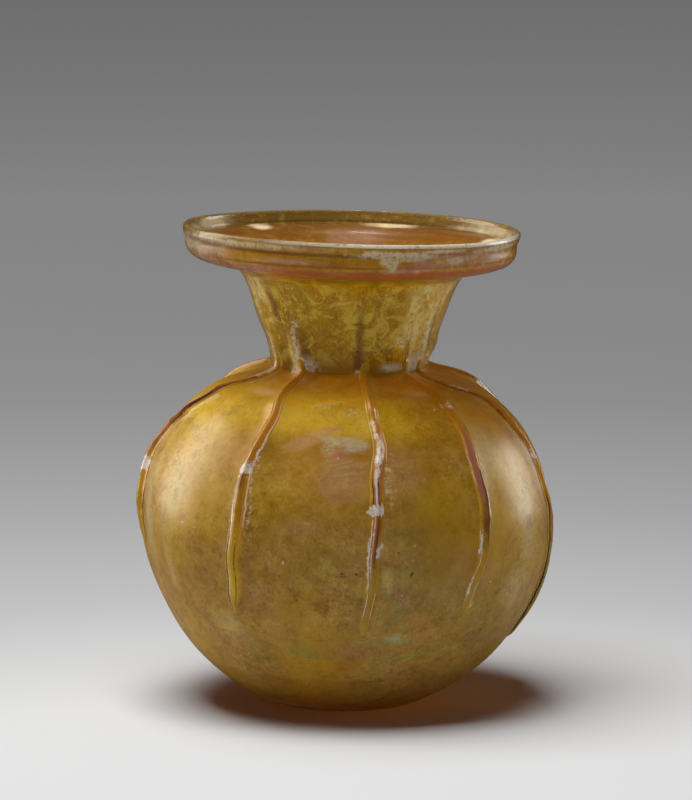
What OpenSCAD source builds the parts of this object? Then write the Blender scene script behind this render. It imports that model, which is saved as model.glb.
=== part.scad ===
// Ribbed round flask of amber glass, with a pinched throat, a flaring neck and a wide collar rim.
// It stands on the table at the origin, +Z up, and the side in view faces -Y. Sizes in millimetres.

/* [Body] */
// Greatest outside radius of the round body
body_r = 46; // [40:0.5:56]
// Height of the body's widest level above the table
belly_z = 42.4; // [36:0.2:52]
// Radius where the belly meets the table
foot_r = 16.7; // [12:0.1:24]
// Rise of the upper half's ellipse above the widest level
crown_rise = 38.3; // [32:0.1:46]
// Radius at which the shoulder starts to bend up into the throat
shoulder_r = 31; // [26:0.5:36]
// Thickness of the blown wall
wall = 1.9; // [1.2:0.1:2.6]

/* [Base] */
// How far the middle of the base is pushed up
kick_h = 3.2; // [1:0.1:6]
// Width of the flat ring that the flask stands on
foot_ring_w = 3.2; // [1.5:0.1:5]
// Thickness of the base
base_t = 2.4; // [1.5:0.1:4]

/* [Throat] */
// Outside radius of the pinched throat
throat_r = 18.3; // [15:0.1:23]
// Rise from the shoulder's bend to the throat
throat_rise = 5.7; // [4.5:0.1:8]
// Height of the straight throat
throat_h = 1.8; // [1:0.1:6]

/* [Neck] */
// Height of the flaring neck above the throat
neck_h = 18.4; // [14:0.1:26]
// Outside radius at the top of the neck
neck_top_r = 24.9; // [22:0.1:29]
// Slope of the wall where it leaves the throat, from upright
neck_lean_deg = 14.5; // [0:0.5:22]
// Slope of the wall where it opens into the rim, from upright
neck_flare_deg = 39.5; // [30:0.5:50]

/* [Rim] */
// Outside radius of the lip
rim_r = 37.8; // [35:0.1:44]
// Rise of the underside from the neck to the fold
dish_rise = 2.9; // [2:0.1:6]
// Height of the rolled fold under the collar
fold_h = 4.9; // [4:0.1:7]
// Radius of the fold's rounded lower corner
fold_round = 3.4; // [2:0.1:3.8]
// How far the groove above the fold lies in from the lip
groove_in = 1; // [0.4:0.1:1.6]
// Height of the collar band above the fold
band_h = 1.8; // [1:0.1:6]
// Thickness of the collar band, twice the lip's radius
band_t = 1.6; // [1:0.1:2]

/* [Ribs] */
// How far a rib stands proud of the wall
rib_h = 1.25; // [0.6:0.05:2]
// Width of a rib at the widest level
rib_w = 3; // [2:0.1:4.5]
// Least width of a rib, where it crosses the throat
rib_throat_w = 2; // [1.5:0.1:3]
// Height above the throat at which the ribs start
rib_start = 11; // [3:0.5:13]
// Length of the fade at each end of a rib, measured as height
rib_fade = 9; // [4:0.5:14]

/* [Hidden] */

// Each rib's direction at its top and at its foot, in degrees to the right of the side in view
RIB_TOP = [-72, -36, 10, 39, 70, 112, 150, 190, 234];
RIB_FOOT = [-84, -34, 5, 40, 88, 124, 162, 200, 240];
// Height of each rib's foot as a share of the widest level, which the ribs reach below
RIB_END = [0.5, 0.6, 0.5, 0.58, 0.3, 0.5, 0.6, 0.52, 0.48];
// Points across a rib: place from edge to edge, and height
RIB_SECTION = [[-1, 0], [-0.62, 0.7], [0, 1], [0.62, 0.7], [1, 0], [0.34, 0], [-0.34, 0]];

AMBER = [0.72, 0.5, 0.1];
DEEP_AMBER = [0.58, 0.33, 0.08];
BROWN = [0.5, 0.24, 0.12];
CREAM = [0.86, 0.82, 0.68];

arc_steps = 14;
curve_steps = 10;
fold_steps = 8;
lip_steps = 12;

// Curves, as lists of [radius, height] points
function turned(angle) = [sin(angle), cos(angle)];
function bezier(a, b, c, d, steps, first = 0) = [
    for (i = [first:steps]) let (t = i / steps, s = 1 - t)
        s * s * s * a + 3 * s * s * t * b + 3 * s * t * t * c + t * t * t * d];
function oval(r, rise, low, from, to, steps, first = 0) = [
    for (i = [first:steps]) let (a = from + (to - from) * i / steps) [r * cos(a), low + rise * sin(a)]];

// The pieces of the outer skin, each starting where the one below ends
belly_drop = belly_z / sqrt(1 - pow(foot_r / body_r, 2));
foot_angle = -acos(foot_r / body_r);
crown_angle = acos(shoulder_r / body_r);
shoulder_z = belly_z + crown_rise * sin(crown_angle);
shoulder_dir = let (d = [-body_r * sin(crown_angle), crown_rise * cos(crown_angle)]) d / norm(d);
throat_z = shoulder_z + throat_rise;
neck_z = throat_z + throat_h;
dish_z = neck_z + neck_h;
shoulder_pull = 4;
throat_pull = 1.6;
neck_pull = 4.4;
flare_pull = 5.2;

belly = oval(body_r, belly_drop, belly_z, foot_angle, 0, arc_steps);
crown = oval(body_r, crown_rise, belly_z, 0, crown_angle, arc_steps, 1);
shoulder = bezier([shoulder_r, shoulder_z], [shoulder_r, shoulder_z] + shoulder_pull * shoulder_dir,
    [throat_r, throat_z - throat_pull], [throat_r, throat_z], curve_steps, 1);
funnel = bezier([throat_r, neck_z], [throat_r, neck_z] + neck_pull * turned(neck_lean_deg),
    [neck_top_r, dish_z] - flare_pull * turned(neck_flare_deg), [neck_top_r, dish_z], curve_steps);
bulb_skin = concat(belly, crown, shoulder);
skin = concat(bulb_skin, funnel);

// The same skin one wall further in, square to the skin at every point
function skin_dir(i) = let (d = skin[min(i + 1, len(skin) - 1)] - skin[max(i - 1, 0)]) d / norm(d);
function skin_out(i) = let (d = i == len(skin) - 1 ? turned(neck_flare_deg) : skin_dir(i)) [d[1], -d[0]];
lining = [for (i = [0:len(skin) - 1]) skin[i] - wall * skin_out(i)];
bulb_n = len(bulb_skin);

function slice(list, from, to) = [for (i = [from:to]) list[i]];
function backwards(list) = [for (i = [len(list) - 1:-1:0]) list[i]];

// Rim, from the neck outwards and up
groove_deep = 0.2;
fold_z = dish_z + dish_rise;
fold_in_r = rim_r - groove_in + groove_deep - fold_round;
crease_z = fold_z + fold_h;
band_z = crease_z + band_h;
lip_r = band_t / 2;
crease_r = rim_r - groove_in - band_t;
dish_lip_drop = 0.4;
dish_top = [fold_in_r, crease_z - dish_lip_drop];
dish_top_deg = 82;
dish_under_pull = 2.2;
dish_edge_pull = 4;
dish_over_pull = 4.5;

// One ring of the flask, spun about the upright axis
module ring(outline) {
    rotate_extrude($fn = 96) polygon(outline);
}

// A stretch of the blown wall between two points of the skin
module wall_ring(from, to) {
    ring(concat(slice(skin, from, to), backwards(slice(lining, from, to))));
}

module base() {
    ring_in_r = foot_r - foot_ring_w;
    kick = [for (i = [0:curve_steps]) let (a = 90 * i / curve_steps)
        [ring_in_r * sin(a), kick_h * cos(a)]];
    inner_edge = lining[0];
    dome_z = kick_h + base_t;
    dome = [for (i = [0:curve_steps]) let (a = 90 * i / curve_steps)
        [inner_edge[0] * cos(a), inner_edge[1] + (dome_z - inner_edge[1]) * sin(a)]];
    color(DEEP_AMBER) ring(concat(kick, [skin[0]], dome));
}

module body_bulb() {
    color(AMBER) wall_ring(0, bulb_n - 1);
}

module throat() {
    color(DEEP_AMBER) wall_ring(bulb_n - 1, bulb_n);
}

module neck_funnel() {
    color(AMBER) wall_ring(bulb_n, len(skin) - 1);
}

module rim_dish() {
    outer = [neck_top_r, dish_z];
    inner = lining[len(lining) - 1];
    under = bezier(outer, outer + dish_under_pull * turned(neck_flare_deg),
        [fold_in_r - dish_edge_pull, fold_z], [fold_in_r, fold_z], curve_steps);
    over = bezier(dish_top, dish_top - dish_edge_pull * turned(dish_top_deg),
        inner + dish_over_pull * turned(neck_flare_deg), inner, curve_steps);
    color(DEEP_AMBER) ring(concat(under, over));
}

module rim_fold() {
    roll = [for (i = [0:fold_steps]) let (a = 90 * i / fold_steps)
        [fold_in_r + fold_round * sin(a), fold_z + fold_round * (1 - cos(a))]];
    color(BROWN) ring(concat(roll, [[rim_r - groove_in, crease_z], [crease_r, crease_z], dish_top]));
}

module rim_collar() {
    color(BROWN) ring([[rim_r - groove_in, crease_z], [rim_r, band_z], [rim_r - band_t, band_z],
        [crease_r, crease_z]]);
}

module lip() {
    bead = [for (i = [0:lip_steps]) let (a = 180 * i / lip_steps)
        [rim_r - lip_r + lip_r * cos(a), band_z + lip_r * sin(a)]];
    color(CREAM) ring(bead);
}

// One tooled rib, laid along the skin from the neck down to below the widest level
module rib(n) {
    top_z = neck_z + rib_start;
    low_z = belly_z * RIB_END[n];
    stops = [for (i = [0:len(skin) - 1]) if (skin[i][1] > low_z && skin[i][1] < top_z) i];
    rings = len(stops);
    across = len(RIB_SECTION);
    points = [for (i = stops) let (
            p = skin[i],
            out = skin_out(i),
            share = (top_z - p[1]) / (top_z - low_z),
            fade = min(1, min(top_z - p[1], p[1] - low_z) / rib_fade),
            high = rib_h * (0.12 + 0.88 * sin(90 * fade)),
            girth = (p[0] - throat_r) / (body_r - throat_r),
            half = (rib_throat_w + (rib_w - rib_throat_w) * girth) / 2 * (0.5 + 0.5 * sin(90 * fade)),
            mid = RIB_TOP[n] + (RIB_FOOT[n] - RIB_TOP[n]) * share)
        for (s = RIB_SECTION) let (
            r = p[0] + out[0] * high * s[1],
            az = mid + s[0] * half / p[0] * 180 / PI)
        [r * sin(az), -r * cos(az), p[1] + out[1] * high * s[1]]];
    sides = [for (k = [0:rings - 2], j = [0:across - 1]) let (
            a = k * across + j,
            b = k * across + (j + 1) % across)
        for (f = [[a, b, b + across], [a, b + across, a + across]]) f];
    low_cap = [for (j = [1:across - 2]) [0, j + 1, j]];
    last = (rings - 1) * across;
    top_cap = [for (j = [1:across - 2]) [last, last + j, last + j + 1]];
    color(BROWN) polyhedron(points, [for (f = concat(sides, low_cap, top_cap)) [f[0], f[2], f[1]]]);
}

base();
body_bulb();
throat();
neck_funnel();
rim_dish();
rim_fold();
rim_collar();
lip();
rib(0);  // rib_1
rib(1);  // rib_2
rib(2);  // rib_3
rib(3);  // rib_4
rib(4);  // rib_5
rib(5);  // rib_6
rib(6);  // rib_7
rib(7);  // rib_8
rib(8);  // rib_9
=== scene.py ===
import functools
import math

import bmesh
import bpy
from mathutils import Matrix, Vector, noise


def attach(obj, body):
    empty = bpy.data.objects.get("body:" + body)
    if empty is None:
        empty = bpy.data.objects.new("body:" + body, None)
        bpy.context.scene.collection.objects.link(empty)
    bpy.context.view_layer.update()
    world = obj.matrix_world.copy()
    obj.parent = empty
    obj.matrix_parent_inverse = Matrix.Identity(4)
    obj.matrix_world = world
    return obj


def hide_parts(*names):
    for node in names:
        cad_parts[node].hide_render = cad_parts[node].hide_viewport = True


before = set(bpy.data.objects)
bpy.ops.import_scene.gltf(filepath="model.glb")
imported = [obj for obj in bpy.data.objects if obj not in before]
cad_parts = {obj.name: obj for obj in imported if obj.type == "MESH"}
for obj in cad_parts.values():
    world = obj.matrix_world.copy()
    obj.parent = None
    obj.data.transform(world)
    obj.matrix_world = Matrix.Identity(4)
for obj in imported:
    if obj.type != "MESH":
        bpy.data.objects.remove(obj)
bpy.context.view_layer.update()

MM = 0.001

# Sizes of the flask in millimetres, as in its solids
BODY_R = 46
BELLY_Z = 42.4
FOOT_R = 16.7
CROWN_RISE = 38.3
SHOULDER_R = 31
WALL = 1.9
KICK_H = 3.2
FOOT_RING_W = 3.2
BASE_T = 2.4
THROAT_R = 18.3
THROAT_RISE = 5.7
THROAT_H = 1.8
NECK_H = 18.4
NECK_TOP_R = 24.9
NECK_LEAN = math.radians(14.5)
NECK_FLARE = math.radians(39.5)
RIM_R = 37.8
DISH_RISE = 2.9
FOLD_H = 4.9
FOLD_ROUND = 3.4
FOLD_R = 37
BAND_H = 1.8
BAND_T = 1.6
LIP_T = 1.25

# Each rib: its node, its route from the neck down (height, and degrees to the right of the side in view),
# and how far it stands out and half its width (height, millimetres)
RIBS = [
    ("rib_1",
     [(91, -66), (77, -57), (74.5, -59), (72, -69), (66.5, -76), (62, -84), (57, -87), (46, -85),
      (37, -84), (19, -85)],
     [(80, 0.02), (76.5, 0.15), (72, 0.7), (62, 1.1), (56, 1.5), (46, 1.3), (35, 0.3), (19, 0.05)],
     [(80, 0.8), (76, 1.2), (60, 1.9), (40, 2.3), (19, 1.4)]),
    ("rib_2",
     [(91, -41), (83, -38), (75, -31.5), (69, -28.5), (58, -31.5), (45, -31.5), (36, -32.5), (26, -34)],
     [(80, 0.02), (76.5, 0.2), (72, 0.8), (50, 1.15), (36, 0.7), (30, 0.2), (26, 0.02)],
     [(80, 0.8), (76, 1.1), (60, 1.5), (48, 2.1), (32, 2.1), (26, 1.2)]),
    ("rib_3",
     [(91, 10), (82, 11), (74, 9.5), (64, 10.8), (56, 8.6), (39, 7.2), (21, 5.2)],
     [(80, 0.02), (76.5, 0.2), (70, 0.65), (60, 1.05), (42, 1.0), (30, 0.5), (21, 0.02)],
     [(80, 0.8), (76, 1.1), (60, 1.6), (40, 1.7), (27, 1.3), (21, 0.7)]),
    ("rib_4",
     [(91, 36), (82, 37), (76, 41), (69, 44), (55, 42), (44, 41), (25, 37)],
     [(80, 0.02), (76.5, 0.2), (72, 0.8), (55, 1.15), (40, 1.0), (31, 0.4), (25, 0.02)],
     [(80, 0.8), (76, 1.1), (60, 1.7), (44, 1.8), (30, 1.4), (25, 0.7)]),
    ("rib_5",
     [(91, 56), (80, 54), (75, 56), (69, 74), (54, 77), (42, 81), (24, 89), (12, 90)],
     [(80, 0.02), (76.5, 0.2), (72, 0.8), (50, 0.7), (36, 0.9), (24, 1.5), (16, 1.0), (12, 0.1)],
     [(80, 0.8), (76, 1.2), (60, 1.9), (40, 2.1), (20, 1.9), (12, 1.1)]),
]
# The ribs at the back: node, direction at the neck and at the foot, and the foot's height
BACK_RIBS = [
    ("rib_6", 112, 124, 21), ("rib_7", 150, 162, 25), ("rib_8", 190, 200, 22), ("rib_9", 234, 240, 20)]
for node, top, foot, low in BACK_RIBS:
    RIBS.append((node, [(91, top), (low, foot)],
                 [(80, 0.02), (76.5, 0.2), (72, 0.9), (50, 1.2), (low + 10, 0.9), (low, 0.02)],
                 [(80, 0.8), (76, 1.1), (60, 1.7), (40, 2.0), (low, 0.8)]))
RIB_TOP_Z = 80

# Steps round the flask and the wedges they are spun in; in millimetres, how close points are merged, and
# how near the axis the form stays even
ROUND_STEPS = 352
WEDGES = 16
MERGE_REACH = 0.0005
POLE_R = 1


# Small helpers for curves and blends
def smooth(low, high, value):
    t = min(1.0, max(0.0, (value - low) / (high - low)))
    return t * t * (3 - 2 * t)


def along(table, z):
    """A value read from a falling table of (height, value), eased between its rows."""
    for (z_a, a), (z_b, b) in zip(table, table[1:]):
        if z >= z_b:
            return b + (a - b) * smooth(z_b, z_a, z)
    return table[-1][1]


def hump(value, middle, width):
    """A smooth hump, 1 at its middle."""
    return math.exp(-((value - middle) / width) ** 2)


def turned(angle):
    return Vector((math.sin(angle), math.cos(angle)))


def bezier(a, b, c, d, steps):
    points = []
    for i in range(steps + 1):
        t = i / steps
        s = 1 - t
        points.append(s * s * s * a + 3 * s * s * t * b + 3 * s * t * t * c + t * t * t * d)
    return points


def oval(centre, across, rise, start, end, steps):
    angles = [start + (end - start) * i / steps for i in range(steps + 1)]
    return [Vector((centre[0] + across * math.cos(a), centre[1] + rise * math.sin(a))) for a in angles]


def between(a, b, steps):
    return [a.lerp(b, i / steps) for i in range(steps + 1)]


def inset(points, depth):
    """The same line moved in by depth, square to it."""
    moved = []
    for i, point in enumerate(points):
        way = (points[min(i + 1, len(points) - 1)] - points[max(i - 1, 0)]).normalized()
        moved.append(point - depth * Vector((way.y, -way.x)))
    return moved


# The flask's cross-section, from the middle of the underside out and up to the lip, then down the inside
belly_drop = BELLY_Z / math.sqrt(1 - (FOOT_R / BODY_R) ** 2)
crown_angle = math.acos(SHOULDER_R / BODY_R)
shoulder = Vector((SHOULDER_R, BELLY_Z + CROWN_RISE * math.sin(crown_angle)))
shoulder_along = Vector((-BODY_R * math.sin(crown_angle), CROWN_RISE * math.cos(crown_angle))).normalized()
throat = Vector((THROAT_R, shoulder.y + THROAT_RISE))
neck = Vector((THROAT_R, throat.y + THROAT_H))
dish = Vector((NECK_TOP_R, neck.y + NECK_H))
fold = Vector((FOLD_R - FOLD_ROUND, dish.y + DISH_RISE))
groove = Vector((FOLD_R + 0.1, fold.y + FOLD_H))
band = Vector((RIM_R, groove.y + BAND_H))
crease = Vector((RIM_R - 1 - BAND_T, groove.y))
dish_top = Vector((fold.x, groove.y - 0.4))

up = Vector((0, 1))
body_skin = oval((0, BELLY_Z), BODY_R, belly_drop, -math.acos(FOOT_R / BODY_R), 0, 34)
body_skin += oval((0, BELLY_Z), BODY_R, CROWN_RISE, 0, crown_angle, 22)[1:]
body_skin += bezier(shoulder, shoulder + 4 * shoulder_along, throat - 1.6 * up, throat, 22)[1:]
throat_skin = between(throat, neck, 3)
neck_skin = bezier(neck, neck + 4.4 * turned(NECK_LEAN), dish - 5.2 * turned(NECK_FLARE), dish, 28)
skin = body_skin + throat_skin[1:] + neck_skin[1:]
lining = inset(skin, WALL)
inner_dish = lining[-1]

foot_in_r = FOOT_R - FOOT_RING_W
kick = [Vector((foot_in_r * math.sin(a), KICK_H * math.cos(a))) for a in
        (math.radians(90 * i / 12) for i in range(13))]
dome_h = KICK_H + BASE_T - lining[0].y
dome = [Vector((lining[0].x * math.cos(a), lining[0].y + dome_h * math.sin(a))) for a in
        (math.radians(90 * i / 14) for i in range(15))]
under_dish = bezier(dish, dish + 2.2 * turned(NECK_FLARE), fold - Vector((4, 0)), fold, 12)
roll = oval((fold.x, fold.y + FOLD_ROUND), FOLD_ROUND, FOLD_ROUND, -math.pi / 2, 0, 14)
roll += bezier(roll[-1], roll[-1] + Vector((0.03, 0.6)), groove - Vector((0.12, 0.3)), groove, 6)[1:]
band_skin = bezier(groove, groove + Vector((0.3, 0.5)), band - Vector((0.1, 0.6)), band, 8)
bead = oval((RIM_R - LIP_T / 2, band.y), LIP_T / 2, 0.8, 0, math.pi, 12)
band_lining = bezier(bead[-1], bead[-1] - Vector((0.45, 0.7)), crease + Vector((-0.05, 0.7)), crease, 8)
fold_top = bezier(crease, crease - Vector((0.25, 0.35)), dish_top + Vector((0.5, 0.05)), dish_top, 8)
over_dish = bezier(dish_top, dish_top - 4 * turned(math.radians(82)),
                   inner_dish + 4.5 * turned(NECK_FLARE), inner_dish, 20)

# Each stretch of the outline and its points; a stretch starts on the last point of the one before it
BODY_COUNT = len(body_skin)
STRETCHES = [
    ("kick", kick), ("foot", between(kick[-1], skin[0], 4)), ("body", body_skin), ("throat", throat_skin),
    ("neck", neck_skin), ("under", under_dish), ("roll", roll), ("band", band_skin), ("bead", bead),
    ("band_in", band_lining), ("fold_top", fold_top), ("over", over_dish),
    ("neck_in", lining[BODY_COUNT + 2:][::-1]), ("throat_in", lining[BODY_COUNT - 1:BODY_COUNT + 3][::-1]),
    ("body_in", lining[:BODY_COUNT][::-1]), ("dome", dome),
]


# How the hand-made flask departs from a turned form
@functools.lru_cache(None)
def set_at(z):
    """At height z: the axis's drift, the slope across, how deep the flutes are on the shoulder and on the
    body, how wide the swell at a rib is, and each rib's direction."""
    drift = 0.008 * z + 0.75 * smooth(72, 84, z)
    slope = 0.012 * smooth(0, 14, z) + 0.012 * smooth(60, 96, z)
    deep = 1.5 * smooth(60, 75, z) * (1 - smooth(79, 94, z))
    flat = 0.35 * smooth(14, 40, z) * (1 - smooth(58, 74, z))
    wide = 2.3 + 1.5 * smooth(50, 20, z)
    return drift, slope, deep, flat, wide, [along(rib[1], z) for rib in RIBS]


def hand_made(point):
    """Moves a point in millimetres from the turned form to the flask as it stands."""
    x, y, z = point
    drift, slope, deep, flat, wide, ways = set_at(round(z, 3))
    r = math.hypot(x, y)
    if r < POLE_R:
        return Vector((x + drift, y, z))
    bearing = math.degrees(math.atan2(x, -y))
    swell = 0.0
    raised = smooth(92, 104, z) * 0.6 * max(0.0, math.cos(math.radians(bearing + 45)))
    if deep + flat > 0:
        off = min(abs((bearing - way + 180) % 360 - 180) for way in ways)
        swell = math.exp(-(math.radians(off) * r / wide) ** 2)
        raised += 0.9 * (swell - 0.45) * hump(z, 75.5, 3)
    free = smooth(2, 22, z)
    uneven = noise.noise(Vector((x, y, z)) * 0.035 + Vector((3, 1, 7)))
    ripple = noise.noise(Vector((x, y, z * 0.6)) * 0.11 + Vector((9, 4, 2)))
    grow = deep * (swell - 0.35) + flat * (swell - 0.2)
    grow += 0.45 * uneven * free * (1 - smooth(66, 80, z)) + 0.16 * ripple * free
    left, right = max(0.0, -x / r), max(0.0, x / r)
    grow += hump(z, 87.5, 5) * (0.8 * left ** 2 + 0.4 * right ** 2)
    grow += right ** 2 * (0.5 * hump(z, 62, 8) + 0.7 * hump(z, 81, 2.5))
    grow -= right ** 2 * 0.9 * hump(z, 75, 1.6)
    grow += left ** 2 * (0.8 * hump(z, 67, 3) - 0.6 * hump(z, 26, 14))
    grow += 0.35 * smooth(98, 102, z) * (1 - smooth(105, 106.2, z)) * left * smooth(33, 36, r)
    raised -= smooth(31, 33.5, r) * (1 - smooth(100, 103.5, z)) * 0.8 * max(0.0, -y / r) ** 2
    x *= 1 + grow / r
    y *= 1 + grow / r
    return Vector((x + drift, y, z - slope * x + raised))


# The blown shell, spun once from its outline and then parted into its named stretches
def spin_shell():
    """The whole shell, and the first and last outline row of each stretch."""
    shell = bmesh.new()
    row = shell.verts.layers.int.new("row")
    rows = {}
    points = [STRETCHES[0][1][0]]
    for name, stretch in STRETCHES:
        rows[name] = (len(points) - 1, len(points) + len(stretch) - 2)
        points += stretch[1:]
    profile = []
    for i, point in enumerate(points):
        vert = shell.verts.new((max(point.x, 0), 0, point.y))
        vert[row] = i
        profile.append(vert)
    edges = [shell.edges.new(pair) for pair in zip(profile, profile[1:])]
    wedge = 2 * math.pi / WEDGES
    bmesh.ops.spin(shell, geom=profile + edges, cent=(0, 0, 0), axis=(0, 0, 1), angle=wedge,
                   steps=ROUND_STEPS // WEDGES)
    whole = shell.verts[:] + shell.edges[:] + shell.faces[:]
    bmesh.ops.spin(shell, geom=whole, cent=(0, 0, 0), axis=(0, 0, 1), angle=2 * math.pi - wedge,
                   steps=WEDGES - 1, use_duplicate=True)
    bmesh.ops.remove_doubles(shell, verts=shell.verts, dist=MERGE_REACH)
    for vert in shell.verts:
        vert.co = hand_made(vert.co)
    bmesh.ops.recalc_face_normals(shell, faces=shell.faces)
    shell.normal_update()
    return shell, rows


def flask_collection():
    flask = bpy.data.collections.new("flask")
    bpy.context.scene.collection.children.link(flask)


def finish_mesh(name, made, normals=None):
    """The mesh in metres, as a piece of the flask."""
    bmesh.ops.scale(made, verts=made.verts, vec=(MM, MM, MM))
    mesh = bpy.data.meshes.new(name)
    made.to_mesh(mesh)
    made.free()
    if normals is not None:
        mesh.normals_split_custom_set_from_vertices(normals)
    piece = bpy.data.objects.new(name, mesh)
    bpy.data.collections["flask"].objects.link(piece)
    return piece


def dress(piece, slot, *nodes):
    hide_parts(*nodes)
    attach(piece, "root")


def part_stretch(shell, rows, name, stretches, wall, seam):
    """A closed piece of the shell: the named stretches, with a clear seam face where it meets the next."""
    part = shell.copy()
    layer = part.verts.layers.int["row"]
    kept_rows = set()
    for stretch in stretches:
        first, last = rows[stretch]
        kept_rows.update(range(first, last + 1))
    outside = []
    normals = {}
    for vert in part.verts:
        if vert[layer] in kept_rows:
            normals[vert] = vert.normal.copy()
        else:
            outside.append(vert)
    bmesh.ops.delete(part, geom=outside, context="VERTS")
    rims = {}
    for edge in part.edges:
        if len(edge.link_faces) == 1:
            rims.setdefault(edge.verts[0][layer], []).append(edge)
    for face in part.faces:
        face.smooth = True
    ends = sorted(rims)
    for low, high in zip(ends[:len(ends) // 2], reversed(ends[len(ends) // 2:])):
        made = bmesh.ops.bridge_loops(part, edges=rims[low] + rims[high])
        for face in made["faces"]:
            face.material_index = 1
            face.smooth = True
    bmesh.ops.recalc_face_normals(part, faces=part.faces)
    order = [normals[v] for v in part.verts]
    piece = finish_mesh(name, part, order)
    piece.data.materials.append(wall)
    piece.data.materials.append(seam)
    return piece


# Material nodes
def shade(red, green, blue):
    """A colour given as it shows, 0 to 255, as the light it stands for."""
    shown = [part / 255 for part in (red, green, blue)]
    return tuple(((part + 0.055) / 1.055) ** 2.4 if part > 0.04 else part / 12.92 for part in shown)


class Recipe:
    """Builds one material's nodes; most methods give back the socket that they make."""

    def __init__(self, name):
        self.material = bpy.data.materials.new(name)
        self.material.use_nodes = True
        self.tree = self.material.node_tree
        self.tree.nodes.clear()
        self.place = self.node("ShaderNodeTexCoord").outputs["Object"]

    def node(self, kind, **values):
        made = self.tree.nodes.new(kind)
        for key, value in values.items():
            setattr(made, key, value)
        return made

    def feed(self, socket, value):
        if isinstance(value, bpy.types.NodeSocket):
            self.tree.links.new(value, socket)
        else:
            socket.default_value = value

    def math(self, operation, a, b=0.0, c=0.0, clamp=False):
        made = self.node("ShaderNodeMath", operation=operation, use_clamp=clamp)
        for socket, value in zip(made.inputs, (a, b, c)):
            self.feed(socket, value)
        return made.outputs[0]

    def times(self, first, *others):
        for other in others:
            first = self.math("MULTIPLY", first, other)
        return first

    def stretched(self, value, by, plus):
        return self.math("MULTIPLY_ADD", value, by, plus)

    def most(self, first, *others):
        for other in others:
            first = self.math("MAXIMUM", first, other)
        return first

    def vector(self, operation, a, b=(0, 0, 0)):
        made = self.node("ShaderNodeVectorMath", operation=operation)
        self.feed(made.inputs[0], a)
        self.feed(made.inputs[1], b)
        return made.outputs["Value" if operation in ("DISTANCE", "LENGTH") else "Vector"]

    def reach(self, place):
        """The distance from the upright line through the origin."""
        return self.vector("LENGTH", self.vector("MULTIPLY", place, (1, 1, 0)))

    def squeezed(self, by):
        """The surface's place, drawn together upward, so that a noise there lies in level streaks."""
        made = self.node("ShaderNodeMapping")
        self.feed(made.inputs["Vector"], self.place)
        made.inputs["Scale"].default_value = (1, 1, by)
        return made.outputs[0]

    def noise(self, scale, detail=4.0, rough=0.55, warp=0.0, at=None):
        made = self.node("ShaderNodeTexNoise")
        self.feed(made.inputs["Vector"], at or self.place)
        made.inputs["Scale"].default_value = scale
        made.inputs["Detail"].default_value = detail
        made.inputs["Roughness"].default_value = rough
        made.inputs["Distortion"].default_value = warp
        return made.outputs["Fac"]

    def cells(self, scale):
        made = self.node("ShaderNodeTexVoronoi", feature="F1")
        self.feed(made.inputs["Vector"], self.place)
        made.inputs["Scale"].default_value = scale
        return made.outputs["Distance"]

    def span(self, value, low, high, to_low=0.0, to_high=1.0):
        made = self.node("ShaderNodeMapRange", interpolation_type="SMOOTHSTEP")
        self.feed(made.inputs["Value"], value)
        for key, number in (("From Min", low), ("From Max", high), ("To Min", to_low), ("To Max", to_high)):
            self.feed(made.inputs[key], number)
        return made.outputs["Result"]

    def mix(self, share, a, b, blend="MIX"):
        made = self.node("ShaderNodeMix", data_type="RGBA", blend_type=blend)
        self.feed(made.inputs[0], share)
        self.feed(made.inputs[6], a if isinstance(a, bpy.types.NodeSocket) else (*a, 1))
        self.feed(made.inputs[7], b if isinstance(b, bpy.types.NodeSocket) else (*b, 1))
        return made.outputs[2]

    def over(self, tint, colour, *shares):
        """The colour laid over the tint, as strongly as all the shares say together."""
        return self.mix(self.times(*shares), tint, colour)

    def blend(self, share, a, b):
        """A number between a and b."""
        made = self.node("ShaderNodeMix", data_type="FLOAT")
        self.feed(made.inputs[0], share)
        self.feed(made.inputs[2], a)
        self.feed(made.inputs[3], b)
        return made.outputs[0]

    def ramp(self, value, stops):
        made = self.node("ShaderNodeValToRGB")
        self.feed(made.inputs[0], value)
        points = made.color_ramp.elements
        while len(points) < len(stops):
            points.new(0.5)
        for point, (at, colour) in zip(points, stops):
            point.position = at
            point.color = (*colour, 1)
        return made.outputs[0]

    def bump(self, height, strength, distance, under=None):
        made = self.node("ShaderNodeBump")
        made.inputs["Strength"].default_value = strength
        made.inputs["Distance"].default_value = distance
        self.feed(made.inputs["Height"], height)
        if under is not None:
            self.feed(made.inputs["Normal"], under)
        return made.outputs[0]

    def split(self, at=None):
        made = self.node("ShaderNodeSeparateXYZ")
        self.feed(made.inputs[0], at or self.place)
        return made.outputs

    def unrolled(self, radius, slope):
        """The surface laid flat at this radius: millimetres right of the side in view, and level height."""
        x, y, z = self.split()
        turn = self.math("ARCTAN2", x, self.times(y, -1))
        level = self.stretched(x, slope, z)
        flat = self.node("ShaderNodeCombineXYZ")
        self.feed(flat.inputs[0], self.times(turn, radius))
        self.feed(flat.inputs[1], self.times(level, 1000))
        self.radius = radius
        self.level = flat.inputs[1].links[0].from_socket
        return flat.outputs[0]

    def patches(self, flat, ragged, oval_list):
        """Where any of the oval patches lies: bearing, height, half width, half height, turn, softness."""
        total = None
        for bearing, height, wide, tall, turn, soft in oval_list:
            oval_place = self.laid(flat, (math.radians(bearing) * self.radius, height, 0), turn, wide, tall)
            far = self.math("ADD", self.vector("LENGTH", oval_place), ragged)
            one = self.span(far, 1 - soft, 1 + soft, 1, 0)
            total = one if total is None else self.most(total, one)
        return total

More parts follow.
